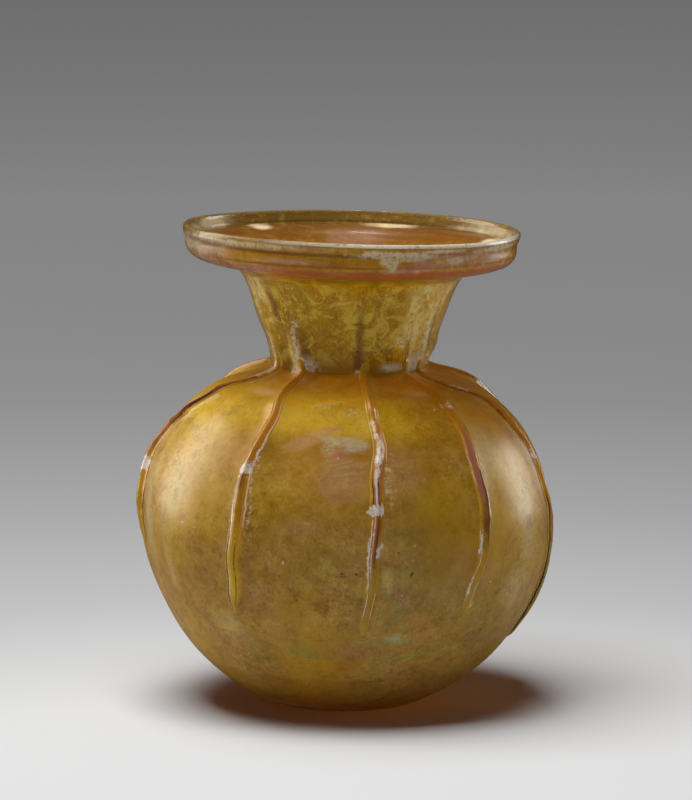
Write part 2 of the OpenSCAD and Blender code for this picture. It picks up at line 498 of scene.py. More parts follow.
    def laid(self, flat, centre, turn, wide, tall):
        """The flat surface as seen from an oval's centre, in its half widths and half heights."""
        lie = self.node("ShaderNodeMapping", vector_type="TEXTURE")
        self.feed(lie.inputs["Vector"], flat)
        lie.inputs["Location"].default_value = centre
        lie.inputs["Rotation"].default_value = (0, 0, math.radians(turn))
        lie.inputs["Scale"].default_value = (wide, tall, 1)
        return lie.outputs[0]

    def streaks(self, flat, turn, length, breadth):
        """Noise drawn out along one direction on the flat surface; length and breadth in millimetres."""
        return self.noise(1, 5, 0.65, 0.2, self.laid(flat, (0, 0, 0), turn, length, breadth))

    def glass(self, colour, rough, clear, normal, coat, coat_rough, gloss=0.5):
        """Amber glass: clear lets light through, and lamps reach what lies behind it through LAMP_TINT."""
        shader = self.node("ShaderNodeBsdfPrincipled")
        self.feed(shader.inputs["Base Color"], colour)
        self.feed(shader.inputs["Roughness"], rough)
        self.feed(shader.inputs["Transmission Weight"], clear)
        shader.inputs["IOR"].default_value = GLASS_IOR
        shader.inputs["Specular IOR Level"].default_value = gloss
        shader.inputs["Specular Tint"].default_value = (*GLOSS_TINT, 1)
        self.feed(shader.inputs["Coat Weight"], coat)
        shader.inputs["Coat Roughness"].default_value = coat_rough
        self.feed(shader.inputs["Normal"], normal)
        passing = self.node("ShaderNodeBsdfTransparent")
        passing.inputs["Color"].default_value = (*LAMP_TINT, 1)
        path = self.node("ShaderNodeLightPath")
        both = self.node("ShaderNodeMixShader")
        soft = self.times(path.outputs["Is Diffuse Ray"], STRAY_SHARE)
        self.feed(both.inputs[0], self.most(path.outputs["Is Shadow Ray"], soft))
        self.tree.links.new(shader.outputs[0], both.inputs[1])
        self.tree.links.new(passing.outputs[0], both.inputs[2])
        self.finish(both.outputs[0])

    def finish(self, surface):
        end = self.node("ShaderNodeOutputMaterial")
        self.tree.links.new(surface, end.inputs["Surface"])


def clear_seam():
    """Where two stretches of the same glass meet there is nothing to see."""
    recipe = Recipe("clear_seam")
    recipe.finish(recipe.node("ShaderNodeBsdfTransparent").outputs[0])
    return recipe.material


# What the glass does to light: the colour of lamplight that has passed it, the share of stray light that
# passes unbent, how much it bends light, and the colour of its gloss; then how fine its grain is, per metre
LAMP_TINT = (0.46, 0.29, 0.11)
STRAY_SHARE = 0.8
GLASS_IOR = 1.5
GLOSS_TINT = (1.0, 0.82, 0.5)
GRAIN = 1300

GOLD = (1.0, 0.65, 0.035)
OLIVE = (0.68, 0.45, 0.02)
BROWN = (0.66, 0.31, 0.02)
HAZE = (0.76, 0.47, 0.075)
PINK_HAZE = (0.80, 0.42, 0.12)
CREAM = (0.80, 0.72, 0.55)
WHITE = (0.86, 0.84, 0.78)
DARK = (0.06, 0.025, 0.012)


def amber_ground(recipe):
    """The glass itself, in gold, olive and brown clouds, the noise of the olive ones, and its grain."""
    cloud = recipe.noise(34, 5, 0.6, 0.3)
    second = recipe.noise(80, 6, 0.65, 0.2)
    grain = recipe.noise(GRAIN, 4, 0.75)
    tint = recipe.mix(recipe.span(cloud, 0.34, 0.66), GOLD, BROWN)
    tint = recipe.over(tint, OLIVE, recipe.span(second, 0.40, 0.70, 0, 0.7))
    return tint, second, grain


def speckle(recipe, tint, grain, strength):
    """Fine dark and light grains over the colour, thicker in places, and a mottle a few millimetres wide."""
    thick = recipe.times(recipe.span(recipe.noise(42, 4, 0.6), 0.36, 0.62, 0.45, 1), strength)
    mottle = recipe.noise(300, 7, 0.82)
    tint = recipe.over(tint, (0.31, 0.16, 0.012), recipe.span(mottle, 0.49, 0.62), thick, 0.9)
    tint = recipe.over(tint, (1.0, 0.80, 0.14), recipe.span(mottle, 0.49, 0.37), thick, 0.65)
    tint = recipe.over(tint, (0.34, 0.18, 0.012), recipe.span(grain, 0.53, 0.66), thick, 0.9)
    return recipe.mix(recipe.times(recipe.span(grain, 0.44, 0.34), thick, 0.6), tint, (1.0, 0.80, 0.24))


def body_wall():
    recipe = Recipe("body_wall")
    flat = recipe.unrolled(45, 0.012)
    tint, second, grain = amber_ground(recipe)
    rag = recipe.stretched(recipe.noise(260, 6, 0.75), 1.6, -0.8)
    height = recipe.level
    low = recipe.span(height, 62, 30)
    veil = recipe.stretched(recipe.noise(190, 6, 0.72), 0.45, recipe.noise(36, 5, 0.65))
    haze = recipe.times(recipe.span(veil, 0.58, 0.90), recipe.span(height, 67, 57))
    haze = recipe.times(haze, recipe.blend(low, 0.6, 0.9))
    pink = recipe.span(second, 0.35, 0.62)
    tint = recipe.over(tint, recipe.mix(pink, HAZE, PINK_HAZE), haze)

    # Darker just below the throat: painted shade in the crease
    tint = recipe.over(tint, (0.62, 0.30, 0.012), recipe.span(height, 73.2, 75.2), 0.75)

    # A gold zone round the top of the shoulder: painted glow of light through the glass
    gold = recipe.patches(flat, rag, [
        (-9, 69.2, 10, 3.6, -4, 0.5), (18, 69, 6, 4, 0, 0.9), (-22, 68, 5, 3, 0, 0.9),
        (-66, 66, 5, 3, 0, 0.9)])
    tint = recipe.over(tint, (0.94, 0.62, 0.012), gold, 0.8)
    deep = recipe.patches(flat, rag, [
        (-18, 46, 8, 6, 0, 0.9), (-7, 38, 9, 5, 10, 0.9), (20, 46, 6, 9, 0, 0.9), (-24, 60, 4, 4, 0, 0.9)])
    tint = recipe.over(tint, (0.46, 0.29, 0.012), deep, 0.4)

    # Iridescent film, faint everywhere low down
    film_hue = recipe.ramp(recipe.stretched(grain, 0.12, recipe.noise(60, 4, 0.6, 0.4)), [
        (0.40, shade(205, 128, 110)), (0.48, shade(190, 160, 95)), (0.56, shade(165, 165, 80)),
        (0.63, shade(150, 165, 120)), (0.71, shade(200, 140, 125))])
    sheen = recipe.times(recipe.span(recipe.noise(30, 5, 0.65, 0.3), 0.42, 0.72), low, 0.5)
    tint = recipe.over(tint, film_hue, sheen)
    green = recipe.patches(flat, rag, [
        (15, 20.5, 6.5, 1.0, -4, 0.7), (24, 16.5, 8, 0.9, 4, 0.8), (-14, 17.5, 4, 1.6, -10, 0.8)])
    tint = recipe.over(tint, shade(178, 190, 96), green, 0.55)
    rosy = recipe.patches(flat, rag, [
        (-41, 35, 7, 6, 0, 0.8), (0, 18, 7, 1.6, 0, 0.8), (-27, 29, 4, 3, 0, 0.8),
        (30, 12.5, 9, 1.2, 8, 0.8), (-63, 31, 4, 6, 0, 0.9)])
    tint = recipe.over(tint, shade(205, 140, 90), rosy, 0.4)
    glow = recipe.patches(flat, rag, [
        (11.7, 35, 1.0, 2.2, 0, 0.7), (-38, 22, 3, 3, 40, 0.9), (-60, 33, 1.4, 6, 8, 0.9)])
    tint = recipe.over(tint, (1.0, 0.80, 0.25), glow, 0.7)

    # The scaled patch left of the middle rib, silvery at its top and brushed beige below
    brushed = recipe.streaks(flat, 12, 9, 0.45)
    beige = recipe.patches(flat, rag, [
        (-0.5, 56.2, 5.4, 4.6, 0, 0.35), (-14, 63.6, 5.5, 1.3, 14, 0.4), (-7, 66.0, 4.5, 0.7, 8, 0.4),
        (17, 58, 4.5, 5, 0, 0.9), (-12, 46, 4, 1.8, 0, 0.9)])
    beige = recipe.times(beige, recipe.span(brushed, 0.36, 0.56, 0.35, 1))
    tint = recipe.over(tint, shade(200, 150, 106), beige, 0.85)
    bright = recipe.stretched(brushed, 0.5, recipe.noise(480, 6, 0.8))
    streak_band = recipe.times(recipe.patches(flat, rag, [
        (0, 59.9, 5.4, 0.9, 0, 0.5), (2, 57.8, 4, 0.4, 4, 0.6)]), recipe.span(brushed, 0.44, 0.60, 0.1, 0.8))
    tint = recipe.over(tint, shade(226, 188, 146), streak_band)
    rose = recipe.patches(flat, rag, [(-2.0, 61.6, 2.8, 1.0, 0, 0.35), (5, 62.2, 1.6, 0.5, 8, 0.6)])
    tint = recipe.over(tint, shade(208, 116, 104), rose, 0.7)
    silver = recipe.patches(flat, rag, [
        (0.8, 64.0, 5.8, 1.0, -4, 0.6), (-5.4, 62.9, 1.7, 1.4, 30, 0.6), (3.5, 62.9, 3.6, 0.8, 6, 0.6),
        (15, 21.2, 2.4, 1.0, -5, 0.9)])
    silver = recipe.times(silver, recipe.span(bright, 0.62, 0.76, 0.1, 1))
    silver_hue = recipe.ramp(bright, [
        (0.56, shade(196, 150, 128)), (0.66, shade(220, 206, 156)), (0.75, shade(194, 194, 158)),
        (0.85, shade(214, 204, 186)), (0.95, shade(186, 156, 158))])
    tint = recipe.over(tint, silver_hue, silver, 0.85)
    # Pearly strips down the left and right, made brighter as painted highlights
    side = recipe.times(recipe.patches(flat, rag, [
        (61, 46, 3.2, 11, 4, 0.8), (52, 60, 4, 5, 14, 0.9), (-74, 47, 3, 11, 0, 0.9), (58, 30, 4, 5, 0, 0.9),
        (-56, 53, 5, 9, -22, 0.8)]), 0.6)
    side_hue = recipe.ramp(bright, [
        (0.6, shade(236, 176, 150)), (0.7, shade(240, 216, 160)), (0.8, shade(222, 222, 168)),
        (0.9, shade(240, 196, 160))])
    tint = recipe.over(tint, side_hue, side)
    pearl_and_highlight = recipe.most(silver, side, rose, streak_band)
    grainy = recipe.patches(flat, rag, [(-18, 49, 8, 6, 0, 0.9), (-6, 30, 12, 6, 0, 0.9)])
    strength = recipe.blend(recipe.span(height, 66, 73), recipe.blend(grainy, 0.6, 1.0), 0.35)
    tint = recipe.over(tint, (0.92, 0.58, 0.10), recipe.span(height, 18, 4, 0, 0.45))
    tint = recipe.over(tint, (0.50, 0.28, 0.01), recipe.span(height, 68, 74, 0, 0.25))
    tint = speckle(recipe, tint, grain, strength)
    tint = recipe.mix(1, tint, (0.90, 0.90, 0.90), "MULTIPLY")

    # Pale lobes round the throat: painted highlights
    painted_lobe_highlights = recipe.patches(flat, rag, [
        (-62, 75.0, 8, 1.2, 0, 0.7), (50, 75.0, 6, 1.3, 0, 0.7), (-27, 75.0, 5, 0.8, -10, 0.7),
        (36, 72.5, 4, 0.6, 0, 0.8), (-42, 72.5, 8, 0.5, 0, 0.9)])
    painted_lobe_highlights = recipe.times(painted_lobe_highlights, recipe.span(recipe.noise(300, 6, 0.8), 0.40, 0.56, 0.3, 1), 0.75)
    tint = recipe.over(tint, shade(232, 190, 140), painted_lobe_highlights)

    # Crumbs of crust, with two painted highlights on the shoulder among them, scattered flecks and pits
    crust_and_highlight_patches = recipe.patches(flat, rag, [
        (-28.5, 50, 1.0, 7, 4, 0.8), (-29, 62, 1.0, 4, 14, 0.7), (12.5, 60, 1.4, 6, 4, 0.9),
        (-8, 70.8, 4, 0.5, 0, 0.8), (2, 69.6, 2.4, 0.7, 8, 0.6), (-7.1, 73.7, 2.0, 0.3, 0, 0.8),
        (-3.6, 71.2, 2.2, 0.4, 0, 0.8), (46, 56, 1.0, 6, 0, 0.8), (-33, 74.5, 3, 0.6, -50, 0.8)])
    crumbs = recipe.span(grain, 0.50, 0.40)
    crust = recipe.times(crust_and_highlight_patches, crumbs, 0.9)
    # Two of the long flat lumps along the bottom edge are a painted reflection line
    lumps_and_edge_reflection = recipe.patches(flat, rag, [
        (-31.8, 57.8, 1.1, 0.5, 15, 0.5), (-88, 53.5, 1.4, 1.0, 0, 0.7), (43, 70.3, 1.3, 0.6, 0, 0.5),
        (7.2, 49.9, 1.0, 0.4, 0, 0.5), (-34, 1.6, 22, 0.5, 0, 0.6), (2, 1.4, 6, 0.2, 0, 0.7),
        (9.5, 42.6, 0.7, 0.7, 0, 0.5), (38.5, 28, 0.6, 0.9, 0, 0.4)])
    crust = recipe.most(crust, lumps_and_edge_reflection)
    fleck = recipe.span(recipe.cells(330), 0.07, 0.13, 1, 0)
    fleck = recipe.times(fleck, recipe.span(recipe.noise(75, 3, 0.6), 0.56, 0.62), 0.8)
    crust = recipe.most(crust, fleck)
    tint = recipe.over(tint, CREAM, crust, 0.85)
    pit = recipe.patches(flat, 0.0, [
        (18.6, 36.2, 0.4, 0.6, -20, 0.5), (14.7, 41, 0.22, 0.22, 0, 0.5), (3.2, 36.3, 0.35, 0.28, 0, 0.5),
        (-0.8, 36.4, 0.25, 0.2, 0, 0.5)])
    spots = recipe.times(recipe.span(recipe.cells(150), 0.03, 0.06, 1, 0),
                         recipe.span(recipe.noise(50), 0.5, 0.55))
    pit = recipe.most(pit, spots)
    tint = recipe.over(tint, DARK, pit, 0.8)
    clear = recipe.blend(haze, 0.60, 0.40)
    clear = recipe.blend(recipe.most(pearl_and_highlight, beige), clear, 0.3)
    clear = recipe.blend(recipe.most(painted_lobe_highlights, crust, pit), clear, 0.1)
    clear = recipe.times(clear, recipe.span(height, 62, 68, 1, 0.5))
    worn = recipe.stretched(grain, 0.3, recipe.blend(haze, 0.16, 0.3))
    rough = recipe.blend(recipe.span(height, 62, 70), worn, 0.29)
    marks = recipe.noise(70, 4, 0.6, 0.2, recipe.squeezed(6))
    normal = recipe.bump(marks, 0.10, 0.0006)
    normal = recipe.bump(recipe.noise(150, 5, 0.6), 0.18, 0.0005, normal)
    normal = recipe.bump(grain, 0.35, 0.0001, normal)
    recipe.glass(tint, rough, clear, normal, coat=0.05, coat_rough=0.2)
    return recipe.material


def neck_wall():
    recipe = Recipe("neck_wall")
    flat = recipe.unrolled(20, 0.024)
    tint, second, grain = amber_ground(recipe)
    height = recipe.level
    above = recipe.span(height, 76, 80)
    tint = recipe.over(tint, (0.95, 0.62, 0.008), above, 0.8)
    dusky = recipe.span(recipe.noise(85, 6, 0.7, 0.6), 0.42, 0.64)
    tint = recipe.over(tint, (0.56, 0.34, 0.006), dusky, above, 0.9)
    # Darker orange-brown at the neck's foot: painted shade in the throat crease
    foot = recipe.times(recipe.span(height, 79.5, 77.0), recipe.span(recipe.noise(60, 3), 0.3, 0.6, 0.6, 1))
    tint = recipe.over(tint, (0.66, 0.33, 0.012), foot)
    blot = recipe.times(recipe.span(recipe.noise(190, 7, 0.76, 1.2), 0.49, 0.57), above)
    tint = recipe.over(tint, (1.0, 0.78, 0.10), blot, 0.8)
    vein = recipe.math("ABSOLUTE", recipe.math("SUBTRACT", recipe.noise(130, 6, 0.7, 0.7), 0.5))
    vein = recipe.times(recipe.span(vein, 0.0, 0.03, 1, 0), recipe.span(second, 0.42, 0.6), above)
    tint = recipe.over(tint, (1.0, 0.82, 0.14), vein, 0.6)
    tint = speckle(recipe, tint, grain, recipe.times(above, 0.45))
    rag = recipe.stretched(recipe.noise(320, 6, 0.75), 1.8, -0.9)
    # Pale streaks on the neck's left and right, partly weathering and partly painted highlights
    broken = recipe.span(recipe.noise(300, 7, 0.82, 0.2), 0.42, 0.56, 0.15, 1)
    pale = recipe.times(broken, recipe.patches(flat, rag, [
        (-69, 89, 1.6, 7, 8, 0.7), (-56, 90, 1.0, 4, 12, 0.7), (-62, 79.2, 2.6, 3.2, 0, 0.6),
        (54, 89, 1.2, 8, -6, 0.6), (40, 90, 0.9, 6, -6, 0.7), (47, 84, 1.4, 7, -4, 0.7),
        (51, 78, 2.6, 2.4, 0, 0.6), (-40, 80, 1.0, 3, 0, 0.8), (66, 92, 1.2, 5, -8, 0.7),
        (48, 94, 3.0, 8, -6, 0.9), (58, 87, 2.0, 9, -6, 0.9), (-60, 95, 2.4, 5, 8, 0.9)]))
    tint = recipe.over(tint, (1.0, 0.80, 0.33), pale, 0.95)
    # Dark lines up the neck along the ribs' flutes: painted shade
    painted_flute_shade = recipe.patches(flat, rag, [
        (9.5, 84, 0.8, 7, 0, 0.9), (-49, 91, 1.0, 4, 10, 0.8), (9, 79, 1.0, 2.5, 0, 0.7),
        (-66, 81, 0.5, 5, 8, 0.8), (-28, 80.5, 0.9, 3.5, 8, 0.8), (42, 80, 0.5, 4, 0, 0.8),
        (60, 84, 0.7, 6, -8, 0.8)])
    tint = recipe.over(tint, (0.30, 0.12, 0.015), painted_flute_shade, 0.8)
    # Pale lobes at the throat: painted highlights
    painted_throat_highlight = recipe.patches(flat, rag, [
        (-61, 79.5, 2.0, 4.0, 6, 0.6), (50, 78.2, 2.2, 2.4, 0, 0.6), (-31, 78.0, 2.2, 1.6, -20, 0.8),
        (33, 77.8, 2.0, 0.9, 0, 0.8)])
    painted_throat_highlight = recipe.times(painted_throat_highlight, recipe.span(recipe.noise(330, 6, 0.8), 0.40, 0.54, 0.35, 1))
    tint = recipe.over(tint, (1.0, 0.82, 0.52), painted_throat_highlight)
    crust = recipe.patches(flat, rag, [
        (-34, 82.0, 0.8, 5.0, 5, 0.8), (-27, 78.0, 2.6, 1.4, -24, 0.7), (-62, 79.5, 0.8, 2.4, 0, 0.8),
        (51, 78, 1.0, 1.6, 0, 0.9), (56, 86, 0.4, 6, -6, 0.8), (9, 76.6, 0.8, 0.8, 0, 0.5),
        (36, 83.5, 0.6, 1.4, 20, 0.6), (31, 77.2, 1.0, 0.6, 0, 0.6), (-33, 87, 1.0, 0.7, 0, 0.6),
        (-29, 76.9, 4, 0.6, 0, 0.8), (41, 86, 0.4, 2, 0, 0.7)])
    crust = recipe.times(crust, recipe.span(grain, 0.56, 0.46), 0.85)
    tint = recipe.over(tint, (0.92, 0.82, 0.70), crust)
    clear = recipe.blend(recipe.most(blot, vein), recipe.blend(above, 0.5, 0.7), 0.45)
    clear = recipe.blend(recipe.most(pale, painted_throat_highlight), clear, 0.12)
    clear = recipe.blend(crust, clear, 0.1)
    rough = recipe.blend(above, 0.24, 0.12)
    normal = recipe.bump(recipe.noise(120, 5, 0.6), 0.4, 0.0008)
    normal = recipe.bump(grain, 0.2, 0.0001, normal)
    recipe.glass(tint, rough, clear, normal, coat=0.15, coat_rough=0.06)
    return recipe.material


# The rim's shift to the right, and the radius of its floor's edge and of the collar's inside, in metres
RIM_DRIFT = (0.0016, 0, 0)
FLOOR_EDGE_R = 0.0338
COLLAR_INSIDE_R = 0.0368


def rim_wall(name, gloss):
    recipe = Recipe(name)
    flat = recipe.unrolled(37, 0.024)
    height = recipe.level
    grain = recipe.noise(GRAIN, 4, 0.75)
    cloud = recipe.noise(60, 5, 0.6, 0.3)
    streak = recipe.noise(45, 6, 0.7, 0.2, recipe.squeezed(14))
    fine = recipe.noise(120, 6, 0.75, 0.2, recipe.squeezed(9))
    tint = recipe.mix(recipe.span(cloud, 0.35, 0.68), (0.95, 0.50, 0.03), (0.80, 0.32, 0.03))
    tint = recipe.over(tint, (1.0, 0.66, 0.04), recipe.span(streak, 0.42, 0.6, 0, 0.7))
    tint = recipe.over(tint, (0.50, 0.18, 0.03), recipe.span(fine, 0.52, 0.66, 0, 0.6))
    rag = recipe.stretched(recipe.noise(300, 6, 0.78), 2.2, -1.1)
    reach = recipe.reach(recipe.vector("SUBTRACT", recipe.place, RIM_DRIFT))
    brink = recipe.blend(recipe.span(height, 103.2, 103.8), FLOOR_EDGE_R, COLLAR_INSIDE_R)
    outside = recipe.span(recipe.math("SUBTRACT", reach, brink), -0.0002, 0.0002)

    # Round the collar: orange-red at the fold, a brown line, painted shade along the groove, and lilac and
    # cream weathering
    fold_band = recipe.times(recipe.span(height, 101.6, 100.8), recipe.span(height, 98.2, 99.4), outside)
    tint = recipe.over(tint, (0.72, 0.17, 0.05), fold_band, recipe.span(fine, 0.3, 0.5, 0.5, 0.95))
    painted_groove_shade = recipe.times(recipe.span(height, 104.2, 104.6), recipe.span(height, 105.3, 104.9), outside)
    tint = recipe.over(tint, (0.30, 0.08, 0.03), painted_groove_shade, 0.7)
    roll_line = recipe.times(recipe.span(height, 101.7, 102.0), recipe.span(height, 102.5, 102.2), outside)
    tint = recipe.over(tint, (0.26, 0.10, 0.03), roll_line, 0.55)
    lilac = recipe.times(outside, recipe.span(fine, 0.35, 0.5, 0.6, 1), recipe.patches(flat, rag, [
        (42, 104.2, 9, 2.2, 0, 0.9), (31, 102.8, 8, 1.1, 3, 0.8),
        (-66, 103.2, 14, 2.6, 0, 0.8), (-33, 100.9, 6, 0.8, 0, 0.8), (-22, 103.0, 7, 0.5, 0, 0.9),
        (28, 104.4, 5, 0.8, 4, 0.8), (58, 103.2, 9, 1.8, 0, 0.8), (22, 101.6, 6, 0.5, 3, 0.8)]))
    lilac_hue = recipe.ramp(recipe.stretched(streak, 0.6, recipe.noise(160, 4, 0.6)), [
        (0.62, shade(200, 112, 84)), (0.72, shade(196, 142, 122)), (0.80, shade(176, 150, 142)),
        (0.88, shade(196, 104, 116)), (0.96, shade(236, 200, 160))])
    tint = recipe.over(tint, lilac_hue, lilac, 0.8)
    film = recipe.times(outside, recipe.patches(flat, rag, [
        (-44, 106.0, 20, 0.7, 0, 0.7), (-74, 104.6, 8, 1.4, 0, 0.9), (17, 105.0, 9, 1.0, 0, 0.35),
        (24, 104.3, 5, 0.9, 6, 0.4), (15.5, 103.7, 2.2, 1.2, 0, 0.4), (16.3, 102.4, 0.8, 0.9, 0, 0.5),
        (40, 103.5, 3.2, 0.7, 5, 0.5), (33, 105.7, 6, 0.4, 0, 0.5), (62, 105.3, 8, 1.0, 0, 0.7)]))
    film = recipe.times(film, recipe.span(grain, 0.64, 0.48, 0.55, 1))
    tint = recipe.over(tint, shade(236, 220, 184), film, 0.85)

    # The collar's left side darkened: painted shade
    round_the_rim = recipe.split(flat)[0]
    painted_side_shade = recipe.times(recipe.span(round_the_rim, -22, -44), recipe.span(round_the_rim, -112, -75))
    tint = recipe.over(tint, (0.30, 0.20, 0.14), painted_side_shade, outside, 0.5)
    inside = recipe.math("SUBTRACT", 1, outside)
    lie = recipe.stretched(reach, -450, height)
    underside = recipe.times(recipe.span(lie, 87.4, 86.6), inside)

    # Inside the collar: the brown floor, a dark crease at its edge, cream and lilac patches, and painted
    # highlights
    # The floor and wall inside are tinted far darker than the outside: the glass's brown with painted shade
    wall_foot = recipe.times(recipe.span(reach, 0.0340, 0.0349), inside)
    floor_tint = recipe.mix(recipe.span(streak, 0.4, 0.62), (0.27, 0.085, 0.012), (0.36, 0.16, 0.014))
    tint = recipe.over(tint, floor_tint, inside, 0.92)
    tint = recipe.over(tint, (0.17, 0.09, 0.012), wall_foot, 0.85)
    # The crease at the floor's edge: a painted shade line
    painted_crease_shade = recipe.times(recipe.span(reach, 0.0338, 0.0342), recipe.span(reach, 0.0350, 0.0345),
                               inside)
    tint = recipe.over(tint, (0.08, 0.03, 0.05), painted_crease_shade, 0.8)
    blotch = recipe.times(recipe.span(reach, 0.0342, 0.0350), inside, recipe.patches(flat, rag, [
        (-118, 105.6, 7, 1.2, 0, 0.8), (-100, 105, 5, 1.2, 0, 0.8), (112, 105.6, 9, 1.3, 0, 0.8),
        (95, 105, 4, 1, 0, 0.8)]))
    tint = recipe.over(tint, shade(214, 196, 150), blotch, 0.8)
    lilac_floor = recipe.times(inside, recipe.span(fine, 0.3, 0.5, 0.5, 1), recipe.patches(flat, rag, [
        (176, 101.2, 8, 1.5, 0, 0.7), (-177, 101.2, 4, 1.5, 0, 0.7)]))
    tint = recipe.over(tint, shade(206, 160, 158), lilac_floor, 0.5)
    # Small bright streaks at the crease: painted highlights
    painted_highlight = recipe.times(inside, recipe.patches(flat, recipe.times(rag, 0.4), [
        (-143, 103.9, 3, 0.45, 0, 0.5), (162, 104.1, 5.5, 0.3, 0, 0.6), (103, 103.7, 4, 0.5, 0, 0.5)]))
    tint = recipe.over(tint, shade(255, 232, 190), painted_highlight, 0.9)
    olive_share = recipe.span(recipe.noise(130, 7, 0.75, 0.4), 0.42, 0.6)
    tint = recipe.over(tint, recipe.mix(olive_share, (0.56, 0.34, 0.006), (0.95, 0.62, 0.012)), underside)
    pale = recipe.most(lilac, film, blotch, painted_highlight)
    clear = recipe.blend(pale, recipe.blend(wall_foot, 0.66, 0.4), 0.2)
    tint = speckle(recipe, tint, grain, 0.4)
    rough = recipe.blend(pale, recipe.blend(inside, 0.12, 0.3), 0.32)
    normal = recipe.bump(streak, 0.3, 0.0006)
    normal = recipe.bump(recipe.noise(420, 5, 0.6), 0.2, 0.0003, normal)
    recipe.glass(tint, rough, clear, normal, coat=0.6 * gloss, coat_rough=0.06, gloss=gloss)
    return recipe.material


def lip_crust():
    recipe = Recipe("lip_crust")
    rag = recipe.noise(420, 6, 0.75)
    x, y, _ = recipe.split()
    front = recipe.span(y, 0.002, -0.014)
    left = recipe.span(x, 0.008, -0.014)
    reach = recipe.reach(recipe.place)
    tint = recipe.mix(recipe.span(rag, 0.4, 0.6), (0.56, 0.36, 0.07), (0.40, 0.22, 0.05))
    inner_edge = recipe.blend(left, 0.0372, 0.0364)
    crust = recipe.times(front, recipe.span(rag, 0.28, 0.46), recipe.span(reach, inner_edge, 0.0377))
    tint = recipe.over(tint, (0.80, 0.74, 0.58), crust)
    # Lilac-grey patches round the back of the lip: weathering and painted highlights
    back = recipe.times(recipe.span(rag, 0.48, 0.62), recipe.math("SUBTRACT", 1, front), 0.5)
    tint = recipe.over(tint, shade(196, 172, 160), back)
    fleck = recipe.span(recipe.noise(700, 5, 0.75), 0.56, 0.66)
    tint = recipe.over(tint, (0.28, 0.17, 0.07), fleck, 0.85)
    normal = recipe.bump(recipe.noise(700, 4, 0.6), 0.5, 0.0004)
    recipe.glass(tint, 0.22, recipe.blend(crust, 0.6, 0.12), normal, coat=0.4, coat_rough=0.08)
    return recipe.material


def ridge_glass(name, core, lines, deposits):
    """Rib glass: a core colour by height, thin lines drawn out along it, some of them painted highlights and
    shade, and crumbs of white deposit.
    """
    recipe = Recipe(name)
    tint, _, grain = amber_ground(recipe)
    tint = speckle(recipe, tint, grain, 0.5)
    across, up_z, _ = recipe.split(recipe.node("ShaderNodeUVMap", uv_map="along_rib").outputs[0])
    middle = recipe.span(recipe.math("ABSOLUTE", across), 0.35, 0.85, 1, 0)
    patchy = recipe.span(recipe.noise(120, 5, 0.7), 0.34, 0.6, 0.45, 1)
    core_hue = recipe.ramp(up_z, [(z / 100, colour) for z, colour in core])
    tint = recipe.over(tint, core_hue, middle, patchy, 0.9)
    crumbs = recipe.noise(900, 5, 0.8)
    place = recipe.math("ADD", across, recipe.stretched(recipe.noise(170, 4, 0.65), 0.5, -0.25))
    across = recipe.math("ADD", across, recipe.stretched(recipe.noise(520, 5, 0.75), 1.6, -0.8))
    up_z = recipe.math("ADD", up_z, recipe.stretched(recipe.noise(460, 5, 0.8), 0.06, -0.03))
    broken = recipe.stretched(crumbs, 0.4, recipe.noise(150, 5, 0.75))
    solid = 0.0
    for at, half, colour, strength, low, high in lines:
        off = recipe.math("ABSOLUTE", recipe.math("SUBTRACT", place, at))
        inside = recipe.times(recipe.span(up_z, low / 100 - 0.04, low / 100 + 0.03),
                              recipe.span(up_z, high / 100 + 0.04, high / 100 - 0.03))
        edge = recipe.blend(recipe.times(inside, strength), 0.95, 0.45)
        line = recipe.times(recipe.span(off, half * 0.2, half * 1.1, 1, 0),
                            recipe.span(broken, edge, recipe.math("ADD", edge, 0.16)), inside)
        tint = recipe.over(tint, colour, line)
        solid = recipe.most(solid, line)
    for at, half, low, high, full in deposits:
        off = recipe.math("DIVIDE", recipe.math("SUBTRACT", across, at), half)
        rise = recipe.math("DIVIDE", recipe.math("SUBTRACT", up_z, (low + high) / 200), (high - low) / 200)
        far = recipe.math("SQRT", recipe.stretched(off, off, recipe.times(rise, rise)))
        far = recipe.math("ADD", far, recipe.stretched(broken, 3.6, -2.52 - full))
        spot = recipe.span(far, 0.8, 1.2, 1, 0)
        tint = recipe.over(tint, recipe.mix(recipe.span(crumbs, 0.4, 0.6), WHITE, (0.72, 0.58, 0.46)), spot)
        solid = recipe.most(solid, spot)
    clear = recipe.blend(solid, 0.5, 0.22)
    normal = recipe.bump(recipe.noise(420, 4, 0.6), 0.35, 0.0004)
    normal = recipe.bump(grain, 0.3, 0.0001, normal)
    recipe.glass(tint, 0.2, clear, normal, coat=0.1, coat_rough=0.08)
    return recipe.material


REDDISH = (0.56, 0.16, 0.06)
ORANGE = (0.78, 0.32, 0.03)
AMBER = (0.80, 0.42, 0.02)
PURPLE = (0.16, 0.05, 0.04)
MAROON = (0.24, 0.07, 0.03)
BLACK = (0.02, 0.012, 0.012)
PALE = (0.86, 0.62, 0.50)
ICE = (0.74, 0.78, 0.82)
BRIGHT = (1.0, 0.74, 0.02)
NECK_GOLD = (0.90, 0.60, 0.03)
